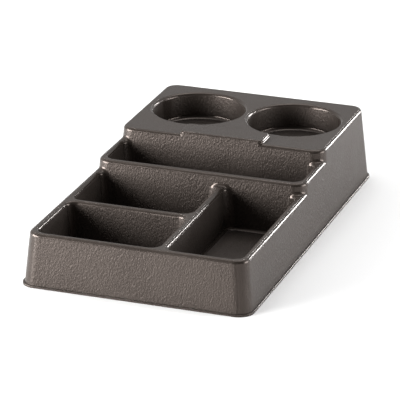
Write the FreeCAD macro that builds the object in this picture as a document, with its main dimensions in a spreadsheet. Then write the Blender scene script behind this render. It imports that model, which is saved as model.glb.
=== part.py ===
import FreeCAD, Part
import os
import re
import Sketcher

# Stepped counter tray: one thermoformed sheet on six stick-on rubber feet.
# Frame: +Z up, -Y is the low front, origin at the centre of the footprint on the table plane.

SIZES = [
    # footprint and lip
    ("base_width", 230.0),
    ("base_length", 403.0),
    ("lip_width", 1.8),
    ("lip_height", 2.0),
    ("lip_round", 0.7),
    # the formed sheet
    ("sheet_thickness", 2.5),
    ("draft_angle", 5.1),
    ("edge_radius", 3.3),
    ("corner_radius", 13.5),
    # heights of the three decks, and where the two upper blocks start at their top
    ("low_height", 52.5),
    ("mid_height", 63.4),
    ("high_height", 75.4),
    ("mid_front", -16.2),
    ("high_front", 47.8),
    ("tuck", 3.6),
    # block that closes the side walls below the crossing of two steps' corners
    ("seam_drop", 6.0),
    ("seam_reach", 6.0),
    ("seam_length", 45.0),
    # rims and dividers, measured at deck level
    ("side_rim", 7.0),
    ("front_rim", 7.0),
    ("mid_side_rim", 6.8),
    ("mid_front_rim", 8.1),
    ("divider_width", 7.0),
    ("divider_x", 24.0),
    ("divider_y", -100.4),
    # inner round where a rim or divider runs into the wall of the next step
    ("blend_radius", 4.0),
    # pockets
    ("pocket_floor", 10.0),
    ("pocket_corner", 10.0),
    ("floor_radius", 4.0),
    ("rear_overrun", 0.05),
    # round wells
    ("well_radius", 47.3),
    ("well_x", 50.9),
    ("well_y", 128.9),
    ("well_floor", 48.2),
    ("well_floor_radius", 5.0),
    # raised label pad
    ("pad_width", 88.3),
    ("pad_depth", 28.0),
    ("pad_rise", 3.5),
    ("pad_sink", 6.0),
    ("pad_corner", 4.5),
    ("pad_edge", 2.0),
    ("pad_base_round", 1.5),
    # plate that stands over a cavity, so that its mouth can be rounded
    ("mouth_plate", 12.0),
    ("mouth_margin", 24.0),
    # rubber feet
    ("foot_diameter", 16.0),
    ("foot_edge", 1.5),
    ("foot_side", 84.0),
    ("foot_front", -170.0),
    ("foot_middle", -50.0),
    ("foot_rear", 20.0),
]

doc = FreeCAD.newDocument("counter_tray")
sheet = doc.addObject("Spreadsheet::Sheet", "Sheet")
for row, (alias, value) in enumerate(SIZES, start=1):
    sheet.set("A%d" % row, alias)
    sheet.set("B%d" % row, str(value))
    sheet.setAlias("B%d" % row, alias)
doc.recompute()

# Formulas used again and again: how far a wall leans per millimetre of height, how thick the
# sheet is when it is measured level through a leaning wall, and half the block at table level
SHORTHANDS = [
    ("HALF_WIDTH", "(base_width / 2 - lip_width)"),
    ("HALF_LENGTH", "(base_length / 2 - lip_width)"),
    ("SLOPE", "tan(draft_angle * 1 deg)"),
    ("SKIN", "(sheet_thickness / cos(draft_angle * 1 deg))"),
]
# How exactly a level edge is level, and how far an edge or a face climbs before it counts as rising
TOLERANCE = 0.01
CLIMB = 1.0
# How far inside a plate's outline an edge lies before it counts as the mouth of its cavity
CLEARANCE = 1.0
# Half the size at which a sketch is drawn before its constraints take over
DRAWN = 10
# Number of stretches into which an edge is divided to see where it runs
STRETCHES = 4


def ref(text):
    """Spell out a formula: shorthands first, then the sheet's aliases."""
    for short, full in SHORTHANDS:
        text = re.sub(r"\b%s\b" % short, full, text)
    for alias, _ in SIZES:
        text = re.sub(r"\b%s\b" % alias, "Sheet." + alias, text)
    return text


def bind(obj, path, text):
    """Bind a property to a formula of the sheet."""
    obj.setExpression(path, ref(text))


def origin_plane(body, role):
    """Find one of the body's own origin planes."""
    return next(item for item in body.Origin.OriginFeatures if item.Role == role)


def add_rectangle(body, name, width, length):
    """A rectangle centred on the body's origin, its two sizes bound to the sheet."""
    sketch = body.newObject("Sketcher::SketchObject", name)
    sketch.AttachmentSupport = [(origin_plane(body, "XY_Plane"), "")]
    sketch.MapMode = "FlatFace"
    corners = [(-DRAWN, -DRAWN), (DRAWN, -DRAWN), (DRAWN, DRAWN), (-DRAWN, DRAWN)]
    for index, start in enumerate(corners):
        end = corners[(index + 1) % 4]
        line = Part.LineSegment(FreeCAD.Vector(*start, 0), FreeCAD.Vector(*end, 0))
        sketch.addGeometry(line, False)
    for index in range(4):
        sketch.addConstraint(Sketcher.Constraint("Coincident", index, 2, (index + 1) % 4, 1))
    for index in (0, 2):
        sketch.addConstraint(Sketcher.Constraint("Horizontal", index))
        sketch.addConstraint(Sketcher.Constraint("Vertical", index + 1))
    sketch.addConstraint(Sketcher.Constraint("Symmetric", 0, 1, 1, 2, -1, 1))
    wide = sketch.addConstraint(Sketcher.Constraint("DistanceX", 0, 1, 0, 2, 2 * DRAWN))
    sketch.renameConstraint(wide, "width")
    long = sketch.addConstraint(Sketcher.Constraint("DistanceY", 1, 1, 1, 2, 2 * DRAWN))
    sketch.renameConstraint(long, "length")
    bind(sketch, "Constraints.width", width)
    bind(sketch, "Constraints.length", length)
    return sketch


def add_circle(body, name, radius):
    """A circle centred on the body's origin, its radius bound to the sheet."""
    sketch = body.newObject("Sketcher::SketchObject", name)
    sketch.AttachmentSupport = [(origin_plane(body, "XY_Plane"), "")]
    sketch.MapMode = "FlatFace"
    sketch.addGeometry(Part.Circle(FreeCAD.Vector(), FreeCAD.Vector(0, 0, 1), DRAWN), False)
    sketch.addConstraint(Sketcher.Constraint("Coincident", 0, 3, -1, 1))
    size = sketch.addConstraint(Sketcher.Constraint("Radius", 0, DRAWN))
    sketch.renameConstraint(size, "radius")
    bind(sketch, "Constraints.radius", radius)
    return sketch


def add_pad(body, name, sketch, length, drafted=True, down=False):
    """Pad a sketch; a drafted pad narrows away from its sketch."""
    pad = body.newObject("PartDesign::Pad", name)
    pad.Profile = sketch
    pad.Reversed = down
    bind(pad, "Length", length)
    if drafted:
        bind(pad, "TaperAngle", "-draft_angle")
    return pad


def edges_where(feature, test):
    """Names of the feature's edges that pass a test."""
    doc.recompute()
    names = []
    for index, edge in enumerate(feature.Shape.Edges, start=1):
        if test(edge):
            names.append("Edge%d" % index)
    return names


def points_on(edge):
    """Points along an edge, its two ends included."""
    first, last = edge.ParameterRange
    stretch = (last - first) / STRETCHES
    return [edge.valueAt(first + stretch * step) for step in range(STRETCHES + 1)]


def is_level(edge, height):
    """The edge lies flat at this height."""
    return all(abs(point.z - height) < TOLERANCE for point in points_on(edge))


def is_rising(edge):
    """The edge climbs, as a corner of a drafted block does."""
    ends = points_on(edge)
    return abs(ends[0].z - ends[-1].z) > CLIMB


def highest(shape):
    """Height of the highest corner."""
    return max(vertex.Z for vertex in shape.Vertexes)


def lowest(shape):
    """Height of the lowest corner."""
    return min(vertex.Z for vertex in shape.Vertexes)


def add_fillet(body, name, feature, test, radius):
    """Round the edges that pass the test."""
    names = edges_where(feature, test)
    fillet = body.newObject("PartDesign::Fillet", name)
    fillet.Base = (feature, names)
    bind(fillet, "Radius", radius)
    doc.recompute()
    return fillet


def place(body, x_text, y_text, z_text):
    """Stand a body at a point given by formulas of the sheet."""
    bind(body, "Placement.Base.x", x_text)
    bind(body, "Placement.Base.y", y_text)
    bind(body, "Placement.Base.z", z_text)


def block(name, width, length, height, at, corner, edge=None):
    """A drafted block on its base, with rounded corners and a rounded top edge."""
    body = doc.addObject("PartDesign::Body", name)
    base = add_rectangle(body, name + "_base", width, length)
    last = add_pad(body, name + "_pad", base, height)
    last = add_fillet(body, name + "_corners", last, is_rising, corner)
    if edge:
        top = highest(last.Shape)
        last = add_fillet(body, name + "_edge", last, lambda e: is_level(e, top), edge)
    body.Tip = last
    place(body, *at)
    doc.recompute()
    return body


def is_inside(edge, half_x, half_y):
    """The edge keeps clear of the four sides of a rectangle around the origin."""
    wide = half_x - CLEARANCE
    long = half_y - CLEARANCE
    return all(abs(point.x) < wide and abs(point.y) < long for point in points_on(edge))


def cavity(name, sizes, depth, at, floor_round, corner=None, mouth=None):
    """The space of a pocket (two sizes) or of a round well (one), hanging from deck level.

    With a mouth radius, a plate stands over the space and the join flares out by that radius,
    so that cutting this body away leaves the rim rounded.
    """
    body = doc.addObject("PartDesign::Body", name)
    add_profile = add_rectangle if len(sizes) == 2 else add_circle
    top = add_profile(body, name + "_top", *sizes)
    last = add_pad(body, name + "_pad", top, depth, down=True)
    doc.recompute()
    floor = lowest(last.Shape)
    if corner:
        last = add_fillet(body, name + "_corners", last, is_rising, corner)
    last = add_fillet(body, name + "_floor", last, lambda e: is_level(e, floor), floor_round)
    if mouth:
        wider = ["(%s) + mouth_margin" % size for size in sizes]
        plate = add_profile(body, name + "_plate", *wider)
        last = add_pad(body, name + "_cover", plate, "mouth_plate", drafted=False)
        doc.recompute()
        outline = plate.Shape.BoundBox
        reach = (outline.XLength / 2, outline.YLength / 2)
        last = add_fillet(
            body, name + "_mouth", last, lambda e: is_level(e, 0) and is_inside(e, *reach), mouth)
    body.Tip = last
    place(body, *at)
    doc.recompute()
    return body


def combine(kind, name, *parts):
    """Fuse or cut whole bodies."""
    result = doc.addObject(kind, name)
    if kind == "Part::Cut":
        result.Base, result.Tool = parts
    else:
        result.Shapes = list(parts)
    doc.recompute()
    return result


def span(low, high):
    """Size and middle of a stretch between two formulas."""
    return "((%s) - (%s))" % (high, low), "(((%s) + (%s)) / 2)" % (high, low)


def stretch_block(name, back, front_top, height, inset, corner, edge=None):
    """One step of the tray: from its drafted front wall back to a plane at table level.

    The front wall is given where it meets the deck, so it starts further forward at the table.
    The inset moves every wall inward and the deck down, for the hollow underneath.
    """
    skin = "SKIN" if inset else "0"
    drop = "sheet_thickness" if inset else "0"
    front = "(%s - %s * SLOPE + %s)" % (front_top, height, skin)
    length, middle = span(front, "(%s - %s)" % (back, skin))
    width = "(2 * (HALF_WIDTH - %s))" % skin
    tall = "(%s - %s)" % (height, drop)
    return block(name, width, length, tall, ("0", middle, "0"), corner, edge)


def tucked_back(next_front, next_height, height):
    """Where a step ends at table level, so that its rear corners hide inside the next step.

    At deck height its rear corner starts a tuck ahead of the point where the next step's front
    corner runs out, so the two corners cross at an angle instead of touching.
    """
    wall = "(%s - (%s - %s) * SLOPE)" % (next_front, next_height, height)
    return "(%s + 2 * corner_radius - tuck + %s * SLOPE)" % (wall, height)


def outer_block(name, back, front, height):
    """A step of the outside."""
    return stretch_block(name, back, front, height, False, "corner_radius", "edge_radius")


def seam_block(name, back, height):
    """A lower block behind the same side walls, closing them under the crossing of two corners."""
    reach = "(%s + seam_reach)" % back
    front = "(%s - seam_length)" % back
    return stretch_block(name, reach, front, "(%s - seam_drop)" % height, False, "corner_radius")


def core_block(name, back, front, height):
    """A step drawn in by the sheet's thickness."""
    return stretch_block(name, back, front, height, True, "corner_radius - sheet_thickness")


# ---- outside and core of the three steps; a core ends where its corners hide in the next one
LOW_FACE = "(-HALF_LENGTH + low_height * SLOPE)"
LOW_BACK = tucked_back("mid_front", "mid_height", "low_height")
MID_BACK = tucked_back("high_front", "high_height", "mid_height")

steps = {
    "low": [
        outer_block("low_step", LOW_BACK, LOW_FACE, "low_height"),
        seam_block("low_seam", LOW_BACK, "low_height"),
    ],
    "mid": [
        outer_block("mid_step", MID_BACK, "mid_front", "mid_height"),
        seam_block("mid_seam", MID_BACK, "mid_height"),
    ],
    "high": [outer_block("high_step", "HALF_LENGTH", "high_front", "high_height")],
}
cores = [
    core_block("low_core", LOW_BACK, LOW_FACE, "low_height"),
    core_block("mid_core", MID_BACK, "mid_front", "mid_height"),
    core_block("high_core", "HALF_LENGTH", "high_front", "high_height"),
]

# ---- pockets and wells, once as the space itself and once grown by the sheet's thickness
LOW_SIDE = "(HALF_WIDTH - low_height * SLOPE - side_rim)"
LOW_FRONT = "(-HALF_LENGTH + low_height * SLOPE + front_rim)"
MID_SIDE = "(HALF_WIDTH - mid_height * SLOPE - mid_side_rim)"
HALF_DIVIDER = "divider_width / 2"
MID_REAR = "(mid_front - (mid_height - low_height) * SLOPE + rear_overrun)"
HIGH_REAR = "(high_front - (high_height - mid_height) * SLOPE + rear_overrun)"

POCKETS = [
    ("front_left", "low", "-" + LOW_SIDE, "(divider_x - %s)" % HALF_DIVIDER,
     LOW_FRONT, "(divider_y - %s)" % HALF_DIVIDER),
    ("middle_left", "low", "-" + LOW_SIDE, "(divider_x - %s)" % HALF_DIVIDER,
     "(divider_y + %s)" % HALF_DIVIDER, MID_REAR),
    ("right", "low", "(divider_x + %s)" % HALF_DIVIDER, LOW_SIDE, LOW_FRONT, MID_REAR),
    ("long", "mid", "-" + MID_SIDE, MID_SIDE, "(mid_front + mid_front_rim)", HIGH_REAR),
]

cutters = {"low": [], "mid": [], "high": []}
grown = []
for word, deck, left, right, front, rear in POCKETS:
    height = deck + "_height"
    width, middle_x = span(left, right)
    length, middle_y = span(front, rear)
    depth = "(%s - pocket_floor)" % height
    at = (middle_x, middle_y, height)
    cutters[deck].append(cavity(
        word + "_pocket", [width, length], depth, at, "floor_radius", "pocket_corner", "edge_radius"))
    grown.append(cavity(
        word + "_wrap", [width + " + 2 * SKIN", length + " + 2 * SKIN"], depth + " + sheet_thickness", at,
        "floor_radius + sheet_thickness", "pocket_corner + sheet_thickness"))
# the long pocket is behind the low step's front part, whose block reaches back under it
cutters["low"].append(cutters["mid"][0])
for word, side in (("left", "-well_x"), ("right", "well_x")):
    depth = "(high_height - well_floor)"
    at = (side, "well_y", "high_height")
    cutters["high"].append(cavity(
        word + "_well", ["well_radius"], depth, at, "well_floor_radius", mouth="edge_radius"))
    grown.append(cavity(
        word + "_well_wrap", ["well_radius + SKIN"], depth + " + sheet_thickness", at,
        "well_floor_radius + sheet_thickness"))

# ---- each step loses its own cavities before the next one stands against it
def joined(name, parts):
    """Fuse several bodies; a single one is left as it is."""
    if len(parts) == 1:
        return parts[0]
    return combine("Part::MultiFuse", name, *parts)


opened = []
for deck in ("low", "mid", "high"):
    step = joined(deck + "_body", steps[deck])
    tool = joined(deck + "_cavities", cutters[deck])
    opened.append(combine("Part::Cut", deck + "_open", step, tool))

# ---- raised label pad, its front flush with the high step's front wall, and the trimmed lip
PAD_FOOT = "(high_height - pad_sink)"
pad_front = "(high_front - pad_sink * SLOPE)"
pad_length, pad_middle = span(pad_front, pad_front + " + pad_depth")
label_pad = block(
    "label_pad", "pad_width", pad_length, "(pad_sink + pad_rise)", ("0", pad_middle, PAD_FOOT),
    "pad_corner", "pad_edge")

pad_core_length = pad_length + " - 2 * SKIN"
pad_core = block(
    "pad_core", "pad_width - 2 * SKIN", pad_core_length, "(pad_sink + pad_rise - sheet_thickness)",
    ("0", pad_middle, PAD_FOOT), "pad_corner - sheet_thickness")

lip = doc.addObject("PartDesign::Body", "lip")
lip_base = add_rectangle(lip, "lip_base", "base_width", "base_length")
lip_last = add_pad(lip, "lip_pad", lip_base, "lip_height", drafted=False)
lip_last = add_fillet(lip, "lip_corners", lip_last, is_rising, "corner_radius + lip_width")
lip.Tip = add_fillet(
    lip, "lip_edge", lip_last, lambda e: is_level(e, sheet.lip_height), "lip_round")
doc.recompute()

# ---- the outside, with each rim and divider rounded into the wall that it runs up against
def meets_wall(shape, edge, deck):
    """The edge is level at deck height and one of its two faces climbs above the deck."""
    if not is_level(edge, deck):
        return False
    faces = shape.ancestorsOfType(edge, Part.Face)
    return any(max(corner.Z for corner in face.Vertexes) > deck + CLIMB for face in faces)


def round_walls(name, base, decks, radius):
    """Round the inner corners in which the decks meet what stands on them."""
    rounded = doc.addObject("Part::Fillet", name)
    rounded.Base = base
    chosen = []
    for index, edge in enumerate(base.Shape.Edges, start=1):
        if any(meets_wall(base.Shape, edge, deck) for deck in decks):
            chosen.append((index, radius, radius))
    rounded.Edges = chosen
    doc.recompute()
    return rounded


plain_steps = combine("Part::MultiFuse", "joined_steps", *opened)
blended = round_walls(
    "blended_steps", plain_steps, (sheet.low_height, sheet.mid_height), sheet.blend_radius)
with_pad = combine("Part::MultiFuse", "with_pad", blended, label_pad, lip)
outside = round_walls("outside", with_pad, (sheet.high_height,), sheet.pad_base_round)

# ---- the formed sheet: the outside less the hollow underneath
core_blocks = combine("Part::MultiFuse", "core_blocks", *cores, pad_core)
wraps = combine("Part::MultiFuse", "wraps", *grown)
hollow = combine("Part::Cut", "hollow", core_blocks, wraps)
shell = combine("Part::Cut", "tray_shell", outside, hollow)

# ---- rubber feet, stuck under the pocket floors and ending level with the lip
FEET = [
    ("front_left", "-foot_side", "foot_front"),
    ("front_right", "foot_side", "foot_front"),
    ("middle_left", "-foot_side", "foot_middle"),
    ("middle_right", "foot_side", "foot_middle"),
    ("rear_left", "-foot_side", "foot_rear"),
    ("rear_right", "foot_side", "foot_rear"),
]


def rubber_foot(name, x_text, y_text):
    """A round bumper whose lower edge is rounded."""
    body = doc.addObject("PartDesign::Body", name)
    face = add_circle(body, name + "_face", "foot_diameter / 2")
    last = add_pad(body, name + "_pad", face, "(pocket_floor - sheet_thickness)", drafted=False)
    body.Tip = add_fillet(body, name + "_edge", last, lambda e: is_level(e, 0), "foot_edge")
    place(body, x_text, y_text, "0")
    return body


nodes = [shell] + [rubber_foot("foot_" + word, *at) for word, *at in FEET]
for node in nodes:
    node.Label = node.Name
doc.recompute()


def check(node):
    """Stop if a piece is missing, broken or not a single solid."""
    shape = node.Shape
    if shape.isNull() or not shape.isValid() or len(shape.Solids) != 1:
        raise RuntimeError("%s is not one valid solid" % node.Label)
    if shape.Volume <= 0:
        raise RuntimeError("%s has no volume" % node.Label)


for item in doc.Objects:
    if "Invalid" in item.State or "Error" in item.State:
        raise RuntimeError("%s failed: %s" % (item.Name, item.State))
for node in nodes:
    check(node)

os.makedirs("parts", exist_ok=True)
for node in nodes:
    node.Shape.exportStep("parts/%s.step" % node.Label)
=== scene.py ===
import math

import bpy
from mathutils import Matrix, Vector

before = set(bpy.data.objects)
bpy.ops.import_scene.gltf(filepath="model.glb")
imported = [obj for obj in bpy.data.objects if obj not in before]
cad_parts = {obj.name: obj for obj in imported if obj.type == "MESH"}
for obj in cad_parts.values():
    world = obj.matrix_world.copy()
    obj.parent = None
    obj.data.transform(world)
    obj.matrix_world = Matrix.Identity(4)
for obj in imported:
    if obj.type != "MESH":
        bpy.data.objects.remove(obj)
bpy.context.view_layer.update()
MM = 0.001

# ---------------------------------------------------------------- camera
CAMERA_AZIMUTH = math.radians(19.39)
CAMERA_PITCH = math.radians(21.29)
CAMERA_ROLL = math.radians(0.22)
CAMERA_PLACE = Vector((0.8887, -2.5373, 1.0760))
LENS_MM = 263.3
SENSOR_MM = 36.0


def add_camera():
    """A long lens from the front right, held level but for a touch of roll."""
    flat = Vector((-math.sin(CAMERA_AZIMUTH), math.cos(CAMERA_AZIMUTH), 0.0))
    forward = flat * math.cos(CAMERA_PITCH) - Vector((0, 0, math.sin(CAMERA_PITCH)))
    level = Vector((math.cos(CAMERA_AZIMUTH), math.sin(CAMERA_AZIMUTH), 0.0))
    above = level.cross(forward)
    right = level * math.cos(CAMERA_ROLL) + above * math.sin(CAMERA_ROLL)
    up = above * math.cos(CAMERA_ROLL) - level * math.sin(CAMERA_ROLL)
    data = bpy.data.cameras.new("camera")
    data.lens = LENS_MM
    data.sensor_width = SENSOR_MM
    camera = bpy.data.objects.new("camera", data)
    bpy.context.scene.collection.objects.link(camera)
    turn = Matrix((right, up, -forward)).transposed().to_4x4()
    camera.matrix_world = Matrix.Translation(CAMERA_PLACE) @ turn
    bpy.context.scene.camera = camera


add_camera()


# ---------------------------------------------------------------- node helpers
def add_node(tree, kind, inputs=None, **settings):
    node = tree.nodes.new(kind)
    for name, value in settings.items():
        setattr(node, name, value)
    for name, value in (inputs or {}).items():
        socket = node.inputs[name]
        if isinstance(value, bpy.types.NodeSocket):
            tree.links.new(value, socket)
        else:
            socket.default_value = value
    return node


def new_material(name):
    material = bpy.data.materials.new(name)
    material.use_nodes = True
    tree = material.node_tree
    tree.nodes.clear()
    shader = add_node(tree, "ShaderNodeBsdfPrincipled")
    output = add_node(tree, "ShaderNodeOutputMaterial")
    tree.links.new(shader.outputs[0], output.inputs["Surface"])
    return material, tree, shader


def math_node(tree, operation, first, second=0.0):
    node = tree.nodes.new("ShaderNodeMath")
    node.operation = operation
    for socket, value in zip(node.inputs, (first, second)):
        if isinstance(value, bpy.types.NodeSocket):
            tree.links.new(value, socket)
        else:
            socket.default_value = value
    return node.outputs[0]


# ---------------------------------------------------------------- materials
WARM = (1.0, 0.84, 0.76, 1.0)


def ramp(tree, value, low, high, to_low=0.0, to_high=1.0):
    """Map a value from one range to another, clamped."""
    inputs = {"Value": value, "From Min": low, "From Max": high, "To Min": to_low, "To Max": to_high}
    return add_node(tree, "ShaderNodeMapRange", inputs, interpolation_type="SMOOTHSTEP").outputs[0]


def flat_mask(tree):
    """1 on the flat faces, less on rounded edges and outer corners, which the mould leaves smoother."""
    coords = add_node(tree, "ShaderNodeTexCoord")
    normal = add_node(tree, "ShaderNodeSeparateXYZ", {"Vector": coords.outputs["Normal"]})
    place = add_node(tree, "ShaderNodeSeparateXYZ", {"Vector": coords.outputs["Object"]})
    across, along, up = (math_node(tree, "ABSOLUTE", normal.outputs[axis]) for axis in "XYZ")
    is_wall = ramp(tree, up, 0.14, 0.30, 1.0, 0.0)
    is_deck = ramp(tree, up, 0.93, 0.99)
    level = math_node(tree, "MAXIMUM", is_wall, is_deck)
    side = math_node(tree, "MAXIMUM", across, along)
    rounded = ramp(tree, side, 0.93, 0.99, 0.75, 0.0)
    outer = ramp(tree, math_node(tree, "ABSOLUTE", place.outputs["X"]), 0.085, 0.092)
    corner = math_node(tree, "MULTIPLY", math_node(tree, "MULTIPLY", rounded, outer), is_wall)
    return math_node(tree, "SUBTRACT", level, corner)


def shell_material():
    """Charcoal ABS with a moulded haircell grain, smoother on its rounded edges."""
    material, tree, shader = new_material("shell_plastic")
    place = add_node(tree, "ShaderNodeTexCoord").outputs["Object"]
    mask = ramp(tree, flat_mask(tree), 0.0, 1.0, GRAIN_ON_EDGES, 1.0)
    lean = add_node(tree, "ShaderNodeMapping", {"Vector": place, "Rotation": (0.6, 0.7, 0.5),
                                                "Scale": (1.0, 1.0, 0.55)}).outputs[0]
    wrinkle = add_node(tree, "ShaderNodeTexNoise", {"Vector": lean, "Scale": 640.0, "Detail": 3.0,
                                                    "Roughness": 0.55, "Distortion": 0.6}).outputs["Fac"]
    cells = add_node(tree, "ShaderNodeTexVoronoi", {"Vector": lean, "Scale": 760.0, "Smoothness": 0.5},
                     feature="SMOOTH_F1").outputs["Distance"]
    height = math_node(tree, "ADD", wrinkle, math_node(tree, "MULTIPLY", cells, 0.5))
    height = math_node(tree, "MULTIPLY", height, mask)
    bump = add_node(tree, "ShaderNodeBump", {"Strength": GRAIN_STRENGTH, "Distance": GRAIN_DEPTH,
                                             "Height": height})
    mottle = add_node(tree, "ShaderNodeTexNoise", {"Vector": place, "Scale": 28.0, "Detail": 5.0})
    tone = add_node(tree, "ShaderNodeMix", {"Factor": ramp(tree, mottle.outputs["Fac"], 0.35, 0.65)},
                    data_type="RGBA")
    set_colors(tone, (0.0190, 0.0150, 0.0125, 1), (0.0235, 0.0188, 0.0158, 1))
    tree.links.new(tone.outputs["Result"], shader.inputs["Base Color"])
    smooth = ramp(tree, mask, GRAIN_ON_EDGES, 1.0, EDGE_ROUGHNESS, WALL_ROUGHNESS)
    patchy = ramp(tree, mottle.outputs["Fac"], 0.3, 0.7, -0.03, 0.03)
    tree.links.new(math_node(tree, "ADD", smooth, patchy), shader.inputs["Roughness"])
    tree.links.new(bump.outputs[0], shader.inputs["Normal"])
    shader.inputs["IOR"].default_value = 1.52
    shader.inputs["Specular Tint"].default_value = WARM
    return material


def set_colors(mix, first, second):
    """Set the two colours of a colour mix."""
    colors = [socket for socket in mix.inputs if socket.type == "RGBA"]
    colors[0].default_value = first
    colors[1].default_value = second


def rubber_material():
    """Soft black rubber, dusty and matt."""
    material, tree, shader = new_material("foot_rubber")
    place = add_node(tree, "ShaderNodeTexCoord").outputs["Object"]
    dust = add_node(tree, "ShaderNodeTexNoise", {"Vector": place, "Scale": 300.0, "Detail": 5.0}).outputs["Fac"]
    tone = add_node(tree, "ShaderNodeMix", {"Factor": dust}, data_type="RGBA")
    set_colors(tone, (0.012, 0.012, 0.012, 1), (0.03, 0.03, 0.03, 1))
    tree.links.new(tone.outputs["Result"], shader.inputs["Base Color"])
    tree.links.new(ramp(tree, dust, 0.2, 0.8, 0.75, 0.95), shader.inputs["Roughness"])
    bump = add_node(tree, "ShaderNodeBump", {"Strength": 0.3, "Distance": 0.0001, "Height": dust})
    tree.links.new(bump.outputs[0], shader.inputs["Normal"])
    return material


GRAIN_STRENGTH = 1.0
GRAIN_DEPTH = 0.0004
GRAIN_ON_EDGES = 0.03
EDGE_ROUGHNESS = 0.24
WALL_ROUGHNESS = 0.46
SHELL = shell_material()
RUBBER = rubber_material()
for name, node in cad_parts.items():
    node.data.materials.clear()
    node.data.materials.append(RUBBER if name.startswith("foot") else SHELL)

# ---------------------------------------------------------------- floor and light
FLOOR_HALF = 4.0


def add_floor():
    mesh = bpy.data.meshes.new("floor")
    corners = [(x * FLOOR_HALF, y * FLOOR_HALF, 0.0) for x, y in ((-1, -1), (1, -1), (1, 1), (-1, 1))]
    mesh.from_pydata(corners, [], [(0, 1, 2, 3)])
    floor = bpy.data.objects.new("floor", mesh)
    bpy.context.scene.collection.objects.link(floor)
    material, tree, shader = new_material("floor")
    place = add_node(tree, "ShaderNodeTexCoord").outputs["Object"]
    speck = add_node(tree, "ShaderNodeTexNoise", {"Vector": place, "Scale": 3.0, "Detail": 2.0})
    tone = add_node(tree, "ShaderNodeMix", {"Factor": speck.outputs["Fac"]}, data_type="RGBA")
    set_colors(tone, (0.94, 0.94, 0.94, 1), (0.96, 0.96, 0.96, 1))
    tree.links.new(tone.outputs["Result"], shader.inputs["Base Color"])
    shader.inputs["Roughness"].default_value = 0.95
    mesh.materials.append(material)


def add_panel(name, azimuth, elevation, distance, size, radiance):
    """A softbox that faces the tray. Azimuth runs from the front towards the right."""
    turn = math.radians(azimuth)
    rise = math.radians(elevation)
    level = Vector((math.sin(turn), -math.cos(turn), 0.0)) * math.cos(rise)
    place = (level + Vector((0, 0, math.sin(rise)))) * distance + Vector((0, 0, 0.04))
    data = bpy.data.lights.new(name, "AREA")
    data.shape = "RECTANGLE"
    data.size, data.size_y = size
    data.energy = radiance * math.pi * size[0] * size[1]
    light = bpy.data.objects.new(name, data)
    bpy.context.scene.collection.objects.link(light)
    light.location = place
    light.rotation_euler = (Vector((0, 0, 0.04)) - place).to_track_quat("-Z", "Y").to_euler()


def add_world(bright, dark):
    """White all round but for a dark side behind the camera."""
    world = bpy.data.worlds.new("studio")
    world.use_nodes = True
    tree = world.node_tree
    way = add_node(tree, "ShaderNodeTexCoord").outputs["Generated"]
    toward = add_node(tree, "ShaderNodeVectorMath", {0: way, 1: DARK_SIDE}, operation="DOT_PRODUCT")
    level = ramp(tree, toward.outputs["Value"], 0.25, 0.80, bright, dark)
    tree.links.new(level, tree.nodes["Background"].inputs["Strength"])
    tree.nodes["Background"].inputs["Color"].default_value = (1.0, 1.0, 1.0, 1)
    bpy.context.scene.world = world


DARK_SIDE = (0.52, -0.80, 0.30)
add_floor()
add_world(0.78, 0.04)
add_panel("front_left_box", -52, 8, 1.5, (1.3, 0.8), 24.0)
add_panel("top_box", 180, 70, 1.6, (1.2, 1.0), 2.4)
add_panel("right_box", 98, 12, 1.6, (0.9, 0.7), 9.0)
add_panel("rear_right_strip", 152, 8, 1.7, (0.30, 0.30), 40.0)
bpy.context.scene.view_settings.view_transform = "Standard"
